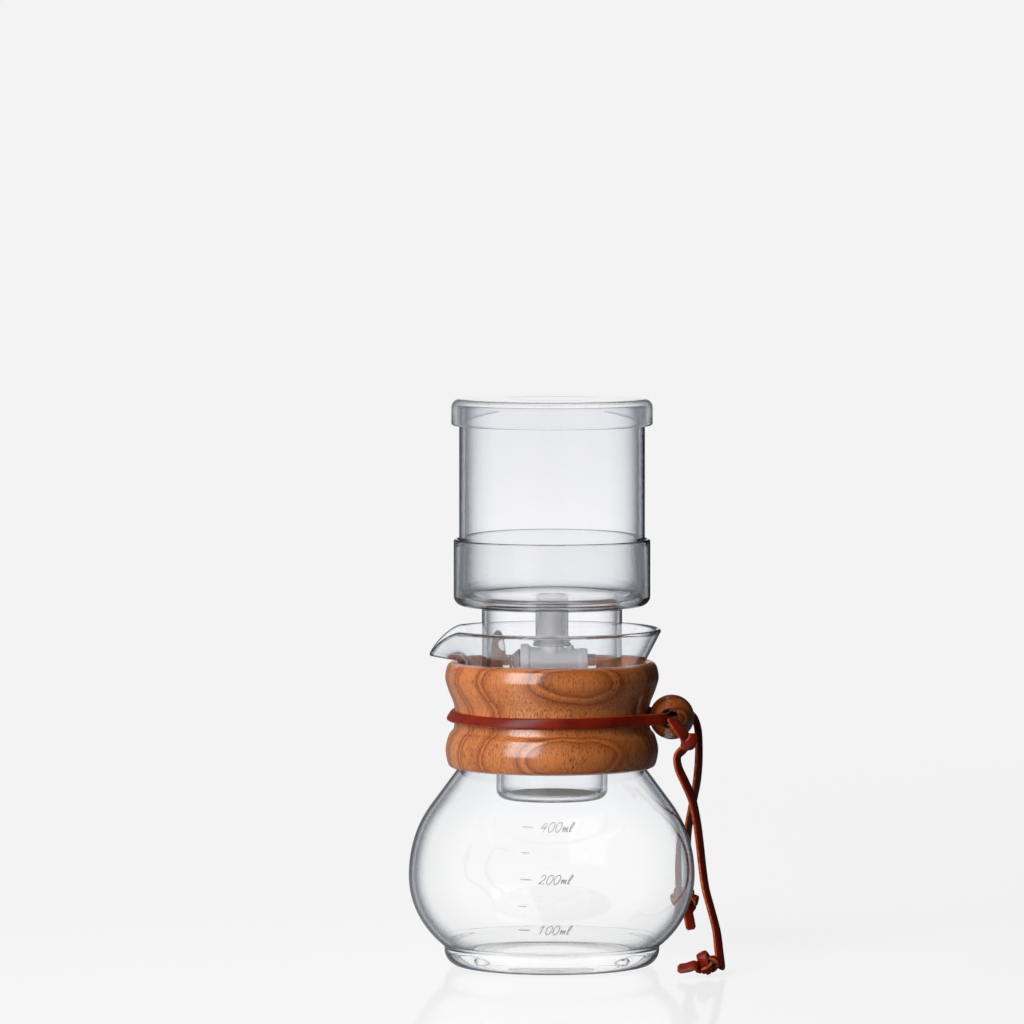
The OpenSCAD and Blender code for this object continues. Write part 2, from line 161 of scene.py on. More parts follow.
def turned(shape, matrix):
    """The shape's points moved by a matrix."""
    verts, faces = shape
    return [tuple(matrix @ Vector(v)) for v in verts], faces


def along_x(shape, height):
    """A body of revolution about Z, laid along X at a height."""
    lay = Matrix.Translation((0, 0, height)) @ Matrix.Rotation(math.pi / 2, 4, "Y")
    return turned(shape, lay)


def make_mesh(name, shapes, sharp=SHARP):
    """One mesh in metres from one or more shapes, its normals outward and smoothly shaded."""
    verts, faces = [], []
    for v, f in shapes:
        faces += [[i + len(verts) for i in face] for face in f]
        verts += v
    mesh = bpy.data.meshes.new(name)
    mesh.from_pydata([[c * MM for c in v] for v in verts], [], faces)
    work = bmesh.new()
    work.from_mesh(mesh)
    bmesh.ops.recalc_face_normals(work, faces=work.faces)
    work.to_mesh(mesh)
    work.free()
    return shaded(mesh, sharp)


def applied(mesh, *modifiers):
    """The mesh after a list of (type, settings) modifiers."""
    work = placed("work", mesh)
    for kind, settings in modifiers:
        modifier = work.modifiers.new(kind.lower(), kind)
        for key, value in settings.items():
            setattr(modifier, key, value)
    graph = bpy.context.evaluated_depsgraph_get()
    made = bpy.data.meshes.new_from_object(work.evaluated_get(graph))
    bpy.data.objects.remove(work)
    return made


def drilled(mesh, shapes):
    """The mesh less the shapes."""
    cutter = placed("cutter", make_mesh("cutter", shapes))
    cutter.hide_render = True
    made = applied(mesh, ("BOOLEAN", {"operation": "DIFFERENCE", "solver": "EXACT",
                                      "object": cutter}))
    bpy.data.objects.remove(cutter)
    return shaded(made)


def blown(name, shapes):
    """Shapes melted together, as glass is at the lamp: a fillet runs round each join."""
    voxel, rounds = 0.24, 7
    made = applied(make_mesh(name, shapes),
                   ("REMESH", {"mode": "VOXEL", "voxel_size": voxel * MM,
                               "use_smooth_shade": True}),
                   ("SMOOTH", {"factor": 0.5, "iterations": rounds}))
    made.shade_smooth()
    return made


def piece(name, mesh, materials, body, replaces=()):
    """An object that rides on a body, with its materials; the CAD nodes it replaces are hidden.
    """
    obj = placed(name, mesh)
    mesh.materials.clear()
    for material in materials:
        mesh.materials.append(material)
    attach(obj, body)
    if replaces:
        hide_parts(*replaces)
    return obj


def mark_bends(mesh):
    """Sets the attribute "bend", from 0 to 1, where a turned wall's outline curves tightly: at
    its rims, its corners and its foot."""
    low, high = 80.0, 220.0    # curvatures in 1/m
    along_ring = 0.7           # how nearly an edge runs round the axis to count
    work = bmesh.new()
    work.from_mesh(mesh)
    layer = work.verts.layers.float.new("bend")
    for edge in work.edges:
        if len(edge.link_faces) != 2:
            continue
        a, b = (v.co for v in edge.verts)
        round_axis = Vector((-(a.y + b.y), a.x + b.x, 0)).normalized()
        span = (edge.link_faces[0].calc_center_median()
                - edge.link_faces[1].calc_center_median()).length
        if abs((b - a).normalized().dot(round_axis)) > along_ring and span > 1e-7:
            curve = edge.calc_face_angle(0) / span
            for v in edge.verts:
                v[layer] = max(v[layer], min(1.0, max(0.0, (curve - low) / (high - low))))
    work.to_mesh(mesh)
    work.free()
    return mesh


def second_material(obj, chosen):
    """Gives material 1 to the faces whose middle, in millimetres, is chosen."""
    for face in obj.data.polygons:
        if chosen(face.center / MM):
            face.material_index = 1


# ---- Materials ----

class Nodes:
    """Short calls that add nodes to a tree."""

    def __init__(self, tree):
        self.tree = tree

    def put(self, node, key, value):
        socket = node.inputs[key]
        if isinstance(value, bpy.types.NodeSocket):
            self.tree.links.new(value, socket)
        else:
            socket.default_value = value

    def node(self, kind, settings=None, out=0, **values):
        """A new node's output. A value's key is a socket's name, or i0, i1 and so on."""
        node = self.tree.nodes.new("ShaderNode" + kind)
        for key, value in (settings or {}).items():
            setattr(node, key, value)
        for key, value in values.items():
            key = int(key[1:]) if key[0] == "i" and key[1:].isdigit() else key.replace("_", " ")
            self.put(node, key, value)
        return node.outputs[out]

    def place(self, stretch=(1, 1, 1)):
        """The point on the object, scaled along each axis."""
        point = self.node("TexCoord", out="Object")
        return self.node("VectorMath", {"operation": "MULTIPLY"}, i0=point, i1=stretch)

    def math(self, operation, a, b=0.0, c=0.0):
        return self.node("Math", {"operation": operation}, i0=a, i1=b, i2=c)

    def noise(self, scale, detail=2.0, stretch=(1, 1, 1)):
        return self.node("TexNoise", Vector=self.place(stretch), Scale=scale, Detail=detail)

    def ramp(self, value, *stops):
        """A value from stops of (position, (r, g, b)) or (position, (grey,))."""
        node = self.tree.nodes.new("ShaderNodeValToRGB")
        ramp = node.color_ramp
        while len(ramp.elements) < len(stops):
            ramp.elements.new(0.5)
        for element, (position, colour) in zip(ramp.elements, stops):
            element.position = position
            element.color = (*colour, 1) if len(colour) == 3 else (*colour * 3, 1)
        self.put(node, "Fac", value)
        return node.outputs[0]

    def mix(self, share, a, b, how="MIX"):
        node = self.tree.nodes.new("ShaderNodeMix")
        node.data_type = "RGBA"
        node.blend_type = how
        self.put(node, "Factor", share)
        for key, value in ((6, a), (7, b)):
            value = (*value, 1) if isinstance(value, tuple) and len(value) == 3 else value
            self.put(node, key, value)
        return node.outputs[2]

    def bump(self, height, strength, distance, normal=None):
        node = self.tree.nodes.new("ShaderNodeBump")
        self.put(node, "Height", height)
        node.inputs["Strength"].default_value = strength
        node.inputs["Distance"].default_value = distance
        if normal is not None:
            self.put(node, "Normal", normal)
        return node.outputs[0]


class Paint(Nodes):
    """A material with one Principled shader."""

    def __init__(self, name, **sockets):
        self.material = bpy.data.materials.new(name)
        self.material.use_nodes = True
        super().__init__(self.material.node_tree)
        self.shader = self.tree.nodes["Principled BSDF"]
        self.finish(**sockets)

    def finish(self, **sockets):
        for key, value in sockets.items():
            self.put(self.shader, key.replace("_", " "), value)
        return self.material


# Painted shade: how much darker glass is painted towards its edge, for the dark room it would
# show there: (how far edge on, strength).
THIN_EDGE_SHADE = ((0.22, 1.0), (0.34, 0.93), (0.46, 0.80), (0.57, 0.54), (0.66, 0.26), (0.74, 0.06),
             (0.82, 0.0))
BULB_EDGE_SHADE = ((0.24, 1.0), (0.40, 0.95), (0.52, 0.94), (0.60, 0.90), (0.66, 0.66), (0.73, 0.24),
             (0.81, 0.01))
KEY_EDGE_SHADE = ((0.04, 1.0), (0.20, 0.82), (0.40, 0.54), (0.60, 0.24), (0.76, 0.05), (0.90, 0.0))
LID_EDGE_SHADE = ((0.22, 1.0), (0.40, 0.88), (0.57, 0.58), (0.72, 0.24), (0.88, 0.06))


def clear_glass(name, clear, edge, rim_shade=0.0, height_shade=None):
    """Clear glass, with painted shade. Faces seen edge on are painted darker and bluer, but for
    level ones, for the dark room that glass shows at its edges. The edge is a list of (how far
    edge on, strength) stops, and tight is how much further edge on the rims and corners count, by
    the
    attribute "bend": painted shade that darkens them more. The argument upper is (low, high,
    tint):
    the glass is painted darker by the tint from the one height to the other, in metres."""
    p = Paint(name, Roughness=0.0, IOR=1.47, Transmission_Weight=1.0)
    # Painted shade: the colour darkens as a face turns edge on, and more at rims and corners by
    # "bend", for the dark room that glass shows there. Level faces are spared.
    facing = p.node("LayerWeight", Blend=0.5, out="Facing")
    lean = p.node("SeparateXYZ", Vector=p.node("TexCoord", out="Normal"), out="Z")
    level = p.math("SUBTRACT", 1.0, p.math("ABSOLUTE", lean))
    steep = 40.0     # upright is 0 on a level face and 1 from 13 degrees of tilt
    upright = p.math("MINIMUM", 1.0, p.math("MULTIPLY", level, steep))
    bend = p.node("Attribute", {"attribute_name": "bend"}, out="Fac")
    side = p.math("MULTIPLY_ADD", bend, rim_shade, p.math("MULTIPLY", facing, upright))
    # Painted shade: the darkened edges are painted a little bluer.
    edge_shade_blue = (1.06, 1.0, 0.90)    # powers that leave dark edges a little bluer
    tone = p.ramp(side, *[(at, tuple(c * k ** power for c, power in zip(clear, edge_shade_blue)))
                          for at, k in edge])
    # Painted shade: the glass is painted darker from one height to another, and above, as it
    # looks under this room's light.
    if height_shade:
        low, high, shade_tint = height_shade
        fit = 4.0               # brings heights up to 0.25 m into a ramp's range
        height = p.node("SeparateXYZ", Vector=p.place((fit,) * 3), out="Z")
        down = p.ramp(height, (fit * low, (1.0,)), (fit * high, shade_tint))
        tone = p.mix(1.0, tone, down, "MULTIPLY")
    cloud = p.math("MULTIPLY", p.noise(26, 2), 0.05)
    colour = p.mix(cloud, tone, (0.88, 0.91, 0.94), "MULTIPLY")
    waves = p.bump(p.noise(34, 1), 0.04, 0.0006)
    return p.finish(Base_Color=colour, Normal=waves)


def ground_glass():
    """Ground glass, pale grey, with the fine grain that the grinding leaves."""
    p = Paint("ground_glass", IOR=1.45, Transmission_Weight=0.72)
    grain = p.noise(2600, 3)
    rings = p.noise(1, 2, (1400, 60, 60))
    cloud = p.noise(150, 2)
    tone = p.ramp(cloud, (0.3, (0.92, 0.925, 0.945)), (0.7, (0.99, 0.99, 1.0)))
    rough = p.math("MULTIPLY_ADD", cloud, 0.15, 0.28)
    return p.finish(Base_Color=tone, Roughness=rough,
                    Normal=p.bump(rings, 0.12, 0.0002, p.bump(grain, 0.25, 0.0002)))


def wood(name, gloss, pale, middle, dark, pore, pith, ring, phase):
    """Polished wood with upright grain: growth rings about a pith line, and pores as short
    upright dashes. Gloss is its coat's roughness. The pith's place and a ring's width are in
    metres, and phase, from 0 to 1, is where the rings begin."""
    p = Paint(name, Coat_Weight=1.0, Coat_Roughness=gloss, Coat_IOR=1.6, Specular_IOR_Level=0.2)
    flat = p.node("VectorMath", {"operation": "SUBTRACT"}, i0=p.place((1, 1, 0)), i1=(*pith, 0))
    radius = p.node("VectorMath", {"operation": "LENGTH"}, i0=flat, out="Value")
    wander = p.math("SUBTRACT", p.noise(1, 2, (30, 30, 24)), 0.5)
    ripple = p.math("MULTIPLY_ADD", wander, 0.7, p.math("DIVIDE", radius, ring))
    year = p.math("FRACT", p.math("SUBTRACT", ripple, phase))
    line = tuple(0.1 * a + 0.9 * b for a, b in zip(middle, dark))    # a second, finer ring
    tone = p.ramp(year, (0.0, dark), (0.03, middle), (0.11, pale), (0.155, line), (0.19, middle),
                  (0.32, pale), (0.80, pale), (0.97, middle), (1.0, dark))
    patch = p.noise(1, 3, (60, 60, 22))
    tone = p.mix(p.ramp(patch, (0.42, (0.0,)), (0.70, (0.55,))), tone, middle)
    fibre = p.noise(1, 3, (1500, 1500, 50))
    tone = p.mix(p.ramp(fibre, (0.36, (0.30,)), (0.60, (0.0,))), tone, dark)
    dash = p.noise(1, 1, (2500, 2500, 400))
    crowd = p.noise(1, 2, (70, 70, 40))
    few, crisp, full = 0.705, 7.0, 0.75    # how rare, sharp and dark the pores are
    deep = p.math("SUBTRACT", p.math("MULTIPLY_ADD", crowd, 0.26, dash), few)
    hole = p.math("MINIMUM", p.math("MAXIMUM", p.math("MULTIPLY", deep, crisp), 0.0), full)
    tone = p.mix(hole, tone, pore)
    return p.finish(Base_Color=tone, Roughness=p.math("MULTIPLY_ADD", fibre, 0.2, 0.35),
                    Normal=p.bump(hole, 0.15, -0.0001, p.bump(fibre, 0.03, 0.0001)))


def leather():
    """Waxed red-brown leather. The attribute "edge" is 1 on the pale cut edges."""
    p = Paint("thong_leather", Specular_IOR_Level=0.2, Coat_Weight=0.10, Coat_Roughness=0.25)
    edge = p.node("Attribute", {"attribute_name": "edge"}, out="Fac")
    cloud = p.noise(90, 3)
    grain = p.node("TexVoronoi", {"feature": "F1"}, Vector=p.place(), Scale=1500.0)
    tone = p.ramp(cloud, (0.3, (0.130, 0.006, 0.002)), (0.7, (0.245, 0.015, 0.004)))
    fibres = p.noise(700, 4)
    tan = p.ramp(fibres, (0.35, (0.24, 0.035, 0.012)), (0.65, (0.54, 0.14, 0.045)))
    tone = p.mix(p.math("MULTIPLY", edge, 0.75), tone, tan)
    rough = p.math("MULTIPLY_ADD", cloud, 0.22, 0.30)
    return p.finish(Base_Color=tone, Roughness=rough,
                    Normal=p.bump(grain, 0.18, 0.00015, p.bump(fibres, 0.12, 0.0002)))


def paper():
    """Thin filter paper that lets some light through."""
    p = Paint("filter_paper", Transmission_Weight=0.25, IOR=1.2)
    fibres = p.noise(1800, 4)
    tone = p.ramp(fibres, (0.3, (0.80, 0.79, 0.76)), (0.7, (0.93, 0.92, 0.90)))
    return p.finish(Base_Color=tone, Roughness=p.math("MULTIPLY_ADD", fibres, 0.1, 0.85),
                    Normal=p.bump(fibres, 0.4, 0.0002))


def enamel():
    """The grey print of the volume marks, a little worn."""
    p = Paint("mark_enamel", Alpha=0.8)
    wear = p.noise(1200, 3)
    tone = p.ramp(wear, (0.3, (0.34, 0.32, 0.32)), (0.7, (0.46, 0.44, 0.44)))
    return p.finish(Base_Color=tone, Roughness=p.math("MULTIPLY_ADD", wear, 0.2, 0.45))


# ---- Glass ----

WALL = 2.0                                # of the carafe and the vessel
LOW_C, LOW_ARC = (21.4, 36.622), 36.0     # the bulb's two arcs, each a centre and a radius
HIGH_C, HIGH_ARC = (9.4, 36.622), 48.0
NECK_C, NECK_ARC = (43.3, 98.491), 16.0   # the neck's arc, hollow
SHOULDER, FLARE = 36.4, 27.3              # degrees that the wall leans in, and out
RIM = (43.566, 133.891)
COLLAR_Z, COLLAR_TOP = 79.691, 122.091
LIP_Z = COLLAR_TOP + 0.3                  # where the flare begins that the spout is drawn from
LIP_ROWS = 22
SPOUT_REACH, SPOUT_DIP = 4.6, 9.8
SPOUT_HALF = 30.0                         # degrees to each side of its middle
FOOT_C, FOOT_ARC = (36.5, 6.6), 6.6
FLOOR_TOP, FLOOR_ARC = 4.2, 9.0           # the carafe's floor, inside, and its corner


def glass_r(z):
    """Outer radius of the carafe's glass between the shoulder and the rim."""
    s, f = math.radians(SHOULDER), math.radians(FLARE)
    low = NECK_C[1] - NECK_ARC * math.sin(s)
    high = NECK_C[1] + NECK_ARC * math.sin(f)
    if z < low:
        return NECK_C[0] - NECK_ARC * math.cos(s) + (low - z) * math.tan(s)
    if z > high:
        return NECK_C[0] - NECK_ARC * math.cos(f) + (z - high) * math.tan(f)
    return NECK_C[0] - math.sqrt(NECK_ARC ** 2 - (z - NECK_C[1]) ** 2)


def bulb_r(z):
    """Outer radius of the bulb."""
    (c, zc), r = (HIGH_C, HIGH_ARC) if z > HIGH_C[1] else (LOW_C, LOW_ARC)
    return c + math.sqrt(r * r - (z - zc) ** 2)


def carafe_side(t, low_angle):
    """The carafe's wall from the foot to the collar's top, moved in by t."""
    return (arc(LOW_C, LOW_ARC - t, low_angle, 0, 30) + arc(HIGH_C, HIGH_ARC - t, 2, SHOULDER, 24)
            + arc(NECK_C, NECK_ARC + t, 180 + SHOULDER, 180 - FLARE, 24))


def pull(angle):
    """1 in the middle of the spout, falling to 0 at its sides."""
    soft = 1.4
    off = (math.hypot(angle - 180, soft) - soft) / SPOUT_HALF
    return (1 - off) ** 1.5 if off < 1 else 0.0


def lip_face(s, w):
    """Outer face of the flare at s from the collar, 0, to the rim, 1, at pull w."""
    foot = Vector((glass_r(LIP_Z), LIP_Z))
    plain = foot.lerp(Vector(RIM), s)
    tip = Vector((RIM[0] + SPOUT_REACH, RIM[1] - SPOUT_DIP))
    bend = foot + Vector((0.3 * (tip.x - foot.x), 0.15 * (tip.y - foot.y)))
    drawn = (1 - s) ** 2 * foot + 2 * s * (1 - s) * bend + s * s * tip
    return plain.lerp(drawn, w)


def lip_profile(w):
    """The flare at pull w: up its outer face, over its edge and down its inner face."""
    outer, inner = [], []
    for i in range(LIP_ROWS + 1):
        s = i / LIP_ROWS
        along = (lip_face(min(1, s + 0.02), w) - lip_face(max(0, s - 0.02), w)).normalized()
        face = lip_face(s, w)
        outer.append(tuple(face))
        inner.append(tuple(face + WALL * Vector((-along.y, along.x))))
    up = (lip_face(1, w) - lip_face(0.95, w)).normalized()
    side = Vector((up.y, -up.x))
    middle = (Vector(outer[-1]) + Vector(inner[-1])) / 2
    edge = [tuple(middle + x * side + 1.05 * y * up)
            for x, y in arc((0, 0), WALL / 2, 15, 165, 10)]
    return outer + edge + inner[::-1]


def carafe_profile(angle):
    gap = LOW_ARC - WALL - FLOOR_ARC
    floor_c = (LOW_C[0] + math.sqrt(gap ** 2 - (LOW_C[1] - FLOOR_TOP - FLOOR_ARC) ** 2),
               FLOOR_TOP + FLOOR_ARC)
    turn = math.degrees(math.atan2(floor_c[1] - LOW_C[1], floor_c[0] - LOW_C[0]))
    foot = cut_corners([(0, 2.2), (10, 2.2), (20, 2.15), (27, 2.0), (30.6, 1.5), (33, 0.5),
                        (34, 0.1), (FOOT_C[0], 0)], 2) + arc(FOOT_C, FOOT_ARC, -84, 0, 14)
    crease = cut_corners([(43.1, 6.9), (43.1, 7.7), (44.0, 8.6), (44.6, 9.36)], 3)
    start = -math.degrees(math.acos((44.7 - LOW_C[0]) / LOW_ARC))
    floor = arc(floor_c, FLOOR_ARC, turn - 2, -90, 12) + [
        (24, 4.15), (16, 4.3), (8, 4.6), (0, 4.7)]
    return (foot + crease + carafe_side(0, start) + lip_profile(pull(angle))
            + carafe_side(WALL, turn)[::-1] + floor)


def wobble(shape, amount, low, high, seed):
    """Glass blown by hand isn't quite true: the wall wanders a little between two heights."""
    verts, faces = shape
    fade = 8.0
    out = []
    for x, y, z in verts:
        share = max(0.0, min(1.0, (z - low) / fade, (high - z) / fade))
        drift = noise.noise(Vector((x / 34 + seed, y / 34, z / 26)))
        k = 1 + amount * share * drift / max(fade, math.hypot(x, y))
        out.append((x * k, y * k, z))
    return out, faces


def step(r, z, q):
    """Rounded corner at the bottom of a cylinder of radius r."""
    return arc((r - q, z + q), q, -90, 0, 12)


def hollow(r, z, q):
    """Hollow corner where a cylinder of radius r meets a wider step at height z."""
    return arc((r + q, z - q), q, 180, 90, 10)


def rim(r, z, wall):
    """Rounded upper edge of a wall with outer radius r."""
    return arc((r - wall / 2, z - wall / 2), wall / 2, 0, 180, 12)


BREW_R, MUG_R, DISH_R = 22.3, 28.1, 39.4      # the dripper's three steps, outside
BREW_Z, LEDGE_Z, SHELF_Z, DISH_TOP = 66.495, 105.695, 144.495, 171.295
DRIP_WALL = 1.8
DRIP_RINGS = ((0, 1), (5, 6), (10.5, 12))     # radius of a ring of drip holes, and how many
FILTER_R, FILTER_H, FILTER_EDGE = 18.15, 0.75, 0.25
VESSEL_Z, VESSEL_R, VESSEL_TOP = 146.295, 37.2, 225.295
SOCKET_Z, SOCKET_R = 128.895, 6.6
LID_R, LID_TOP, LID_H, LID_WALL, LID_ARC = 40.3, 227.495, 10.8, 2.2, 3.6
JOINT_R = 4.2                                 # the ground joint at the vessel's floor
TAPER = 0.05                                  # that a ground cone's radius gains a millimetre
TAP_Z, TAP_TOP = 121.4948, VESSEL_Z - 1.6
BARREL_LEFT, BARREL_RIGHT = -12.6, 14.2
KEY_LEFT = BARREL_LEFT - 0.15                 # the key's shoulder, against the barrel's end
NOZZLE_Z = TAP_Z - 19.6
HANDLE_X, HANDLE_HALF, HANDLE_THICK = -21.61, 13.2, 3.3
PLUG_END = 17.6


def dripper_side(t):
    """The dripper's wall from its middle to the dish, moved in by t. Inside, its shelf lies a
    gap lower, clear of the vessel that stands on it."""
    floor = AIR if t else 0
    return ([(0, BREW_Z + t), (BREW_R - 9, BREW_Z + t)] + step(BREW_R - t, BREW_Z + t, 4 - t)
            + hollow(BREW_R - t, LEDGE_Z + t, 1.5 + t) + step(MUG_R - t, LEDGE_Z + t, 4 - t)
            + hollow(MUG_R - t, SHELF_Z + t - floor, 1.5 + t)
            + step(DISH_R - t, SHELF_Z + t - floor, 4 - t))


def make_dripper(material):
    shape = revolved(dripper_side(0) + rim(DISH_R, DISH_TOP, DRIP_WALL)
                     + dripper_side(DRIP_WALL)[::-1])
    shape = wobble(shape, 0.05, LEDGE_Z + 8, DISH_TOP, 3.0)
    hole = revolved([(0, BREW_Z - 0.5), (1.05, BREW_Z - 0.5), (0.82, BREW_Z + 0.25),
                     (0.8, BREW_Z + 1.5), (0.95, BREW_Z + 2.3), (0, BREW_Z + 2.3)], 20)
    holes = []
    for ring, count in DRIP_RINGS:
        for k in range(count):
            a = 2 * math.pi * k / count
            at = Matrix.Translation((ring * math.cos(a), ring * math.sin(a), 0))
            holes.append(turned(hole, at))
    mesh = drilled(make_mesh("dripper_glass", [shape]), holes)
    piece("dripper_glass", mark_bends(mesh), [material], "dripper", ["dripper"])


def make_filter(material):
    z, r, q = BREW_Z + DRIP_WALL + 0.05, FILTER_R - FILTER_EDGE, FILTER_EDGE
    profile = ([(0, z)] + arc((r, z + q), q, -90, 0, 4) + arc((r, z + FILTER_H - q), q, 0, 90, 4)
               + [(0, z + FILTER_H)])
    piece("filter_paper_disc", make_mesh("filter_paper_disc", [revolved(profile, 96)]),
          [material], "dripper", ["filter_disc"])


def make_vessel(material, ground):
    z = VESSEL_Z + AIR
    inside = VESSEL_Z + WALL
    mouth = JOINT_R + (VESSEL_Z - SOCKET_Z) * TAPER
    bead = 0.7       # the rolled edge of the socket's mouth
    profile = (arc((SOCKET_R + 0.4, SOCKET_Z + bead), bead, -90, 60, 8)
               + [(SOCKET_R, SOCKET_Z + 2.2)] + hollow(SOCKET_R, z, 2.0)
               + step(VESSEL_R, z, 6) + rim(VESSEL_R, VESSEL_TOP, WALL)
               + step(VESSEL_R - WALL, inside, 4)[::-1]
               + hollow(JOINT_R, inside, 2)[::-1]
               + [(JOINT_R, VESSEL_Z - 0.6), (mouth, SOCKET_Z + 0.35), (mouth + 0.3, SOCKET_Z)])
    shape = wobble(revolved(profile), 0.06, VESSEL_Z + 20, VESSEL_TOP - 2, 7.0)
    obj = piece("water_vessel_glass", mark_bends(make_mesh("water_vessel_glass", [shape])),
                [material, ground], "water_vessel", ["water_vessel"])
    second_material(obj, lambda m: math.hypot(m.x, m.y) < 5.3 and m.z < VESSEL_Z - 0.6)


def make_lid(material):
    c = (LID_R - LID_ARC, LID_TOP - LID_ARC)
    low = LID_TOP - LID_H
    under = LID_TOP - LID_WALL + AIR
    half = LID_WALL / 2
    # The top, with the shallow ring that a mould leaves.
    top = [(r, LID_TOP - down) for r, down in ((0, 0), (11, 0.02), (17.6, 0.06), (18.6, 0.16),
                                               (19.6, 0.02), (30, 0))]
    profile = (cut_corners(top, 2) + arc(c, LID_ARC, 90, 0, 16)
               + arc((LID_R - half, low + half), half, 0, -180, 14)
               + arc((c[0], c[1] + AIR), LID_ARC - LID_WALL, 0, 90, 10)
               + [(30, under), (0, under)])
    shape = revolved(profile)
    piece("lid_glass", mark_bends(make_mesh("lid_glass", [shape])), [material], "lid",
          ["lid"])


def plug_r(x):
    """Radius of the plug's ground cone at x."""
    return 4 + (PLUG_END - x) * TAPER


def make_barrel(ground, clear):
    """The tap's barrel, with its ground riser, its nozzle and a nub, hollow throughout."""
    left, right = BARREL_LEFT, BARREL_RIGHT
    barrel = [(0, left), (7.6, left), (8.1, left + 0.5), (8.1, -9.6), (7.6, -9.1), (6.95, -8.7),
              (6.7, -4), (6.4, 4), (6.1, 10.4), (6.2, 11), (6.35, 11.4), (6.3, 13.8),
              (6.0, right), (0, right)]
    ground_r = JOINT_R - 0.15 + (VESSEL_Z - TAP_TOP) * TAPER
    riser = [(0, TAP_Z), (ground_r + (TAP_TOP - TAP_Z) * TAPER, TAP_Z), (ground_r, TAP_TOP - 0.3),
             (ground_r - 0.3, TAP_TOP), (0, TAP_TOP)]
    nozzle = [(0, NOZZLE_Z), (3.3, NOZZLE_Z), (3.55, NOZZLE_Z + 0.5), (3.3, NOZZLE_Z + 1.3),
              (3.25, NOZZLE_Z + 4), (3.25, TAP_Z - 8.4), (4.6, TAP_Z - 6.2), (4.6, TAP_Z),
              (0, TAP_Z)]
    nub = [(0, 0), (1.5, 0), (1.5, 2.0), (1.0, 2.9), (0, 3.1)]
    lean = Matrix.Translation((6.6, -0.5, TAP_Z + 5)) @ Matrix.Rotation(0.5, 4, "Y")
    body = blown("tap_barrel", [along_x(revolved(barrel, 96), TAP_Z), revolved(riser, 96),
                                revolved(nozzle, 96), turned(revolved(nub, 32), lean)])
    seat = [(0, left - 1), (plug_r(left) + 0.16, left - 1), (plug_r(right) + 0.14, right + 1),
            (0, right + 1)]
    spout = [(0, NOZZLE_Z - 1), (2.2, NOZZLE_Z - 1), (2.2, TAP_Z), (0, TAP_Z)]
    lift = [(0, TAP_Z), (1.7, TAP_Z), (1.7, TAP_TOP + 1), (0, TAP_TOP + 1)]
    for shape in (along_x(revolved(seat, 96), TAP_Z), revolved(spout, 48), revolved(lift, 48)):
        body = drilled(body, [shape])
    obj = piece("tap_barrel", body, [ground, clear], "water_vessel", ["tap_body"])
    second_material(obj, lambda m: m.z < TAP_Z - 8.6 or m.z > VESSEL_Z - 4.6)


def make_key(clear, ground):
    """The plug with its through hole, its stem and its oval handle."""
    left, right = KEY_LEFT, BARREL_RIGHT
    key = [(0, HANDLE_X), (2.9, HANDLE_X), (2.9, HANDLE_X + 2.6), (3.0, left - 4),
           (3.6, left - 3.4), (5.6, left - 1.2), (6.2, left - 0.5), (6.0, left),
           (plug_r(left), left + 0.02), (plug_r(right), right), (4.05, PLUG_END - 0.8),
           (4.15, PLUG_END - 0.4), (3.9, PLUG_END), (0, PLUG_END)]
    oval = [(HANDLE_THICK * x ** 0.85, HANDLE_HALF * z) for x, z in arc((0, 0), 1, -86, 86, 40)]
    paddle = [(0, -HANDLE_HALF)] + oval + [(0, HANDLE_HALF)]
    handle = turned(revolved(paddle, 64), Matrix.Translation((HANDLE_X, 0, TAP_Z)))
    plug = blown("tap_key", [along_x(revolved(key, 96), TAP_Z), handle])
    way = [(0, TAP_Z - 7.4), (1.3, TAP_Z - 7.4), (1.3, TAP_Z + 7.4), (0, TAP_Z + 7.4)]
    plug = drilled(plug, [revolved(way, 32)])
    obj = piece("tap_key", plug, [clear, ground], "tap_plug", ["tap_plug"])
    second_material(obj, lambda m: left + 0.4 < m.x < right - 0.5)


def make_carafe(material):
    shape = wobble(revolved(carafe_profile, 288), 0.32, 10, COLLAR_Z - 6, 1.0)
    piece("carafe_glass", mark_bends(make_mesh("carafe_glass", [shape])), [material], "carafe",
          ["carafe"])


# ---- Wood ----

WAIST_R, WAIST_Z = 39.0, 99.991
LOW_BULGE, HIGH_BULGE = 42.58, 42.78
SEAM = 0.02                # half the gap between the collar's two halves
BEAD_AT = Vector((48.35, 0, 100.291))
BEAD_R, BEAD_BORE = 9.0, 3.4
BEAD_LIP = 27.0            # degrees from the bore's direction to the rounded edge of its mouth
BEAD_TURN = math.radians(-8)


def collar_outline():
    z, top = COLLAR_Z, COLLAR_TOP
    return [tuple(p) for p in smooth_line([
        (LOW_BULGE - 2.6, z), (LOW_BULGE - 1.2, z + 1), (LOW_BULGE - 0.3, z + 4),
        (LOW_BULGE, z + 8), (LOW_BULGE - 1.3, z + 13), (WAIST_R + 0.4, WAIST_Z - 4.6),
        (WAIST_R, WAIST_Z), (WAIST_R + 0.3, WAIST_Z + 5), (HIGH_BULGE - 1.3, top - 11.4),
        (HIGH_BULGE, top - 6.6), (HIGH_BULGE - 0.5, top - 2.8), (HIGH_BULGE - 1.4, top - 0.9),
        (HIGH_BULGE - 2.8, top)], 8)]


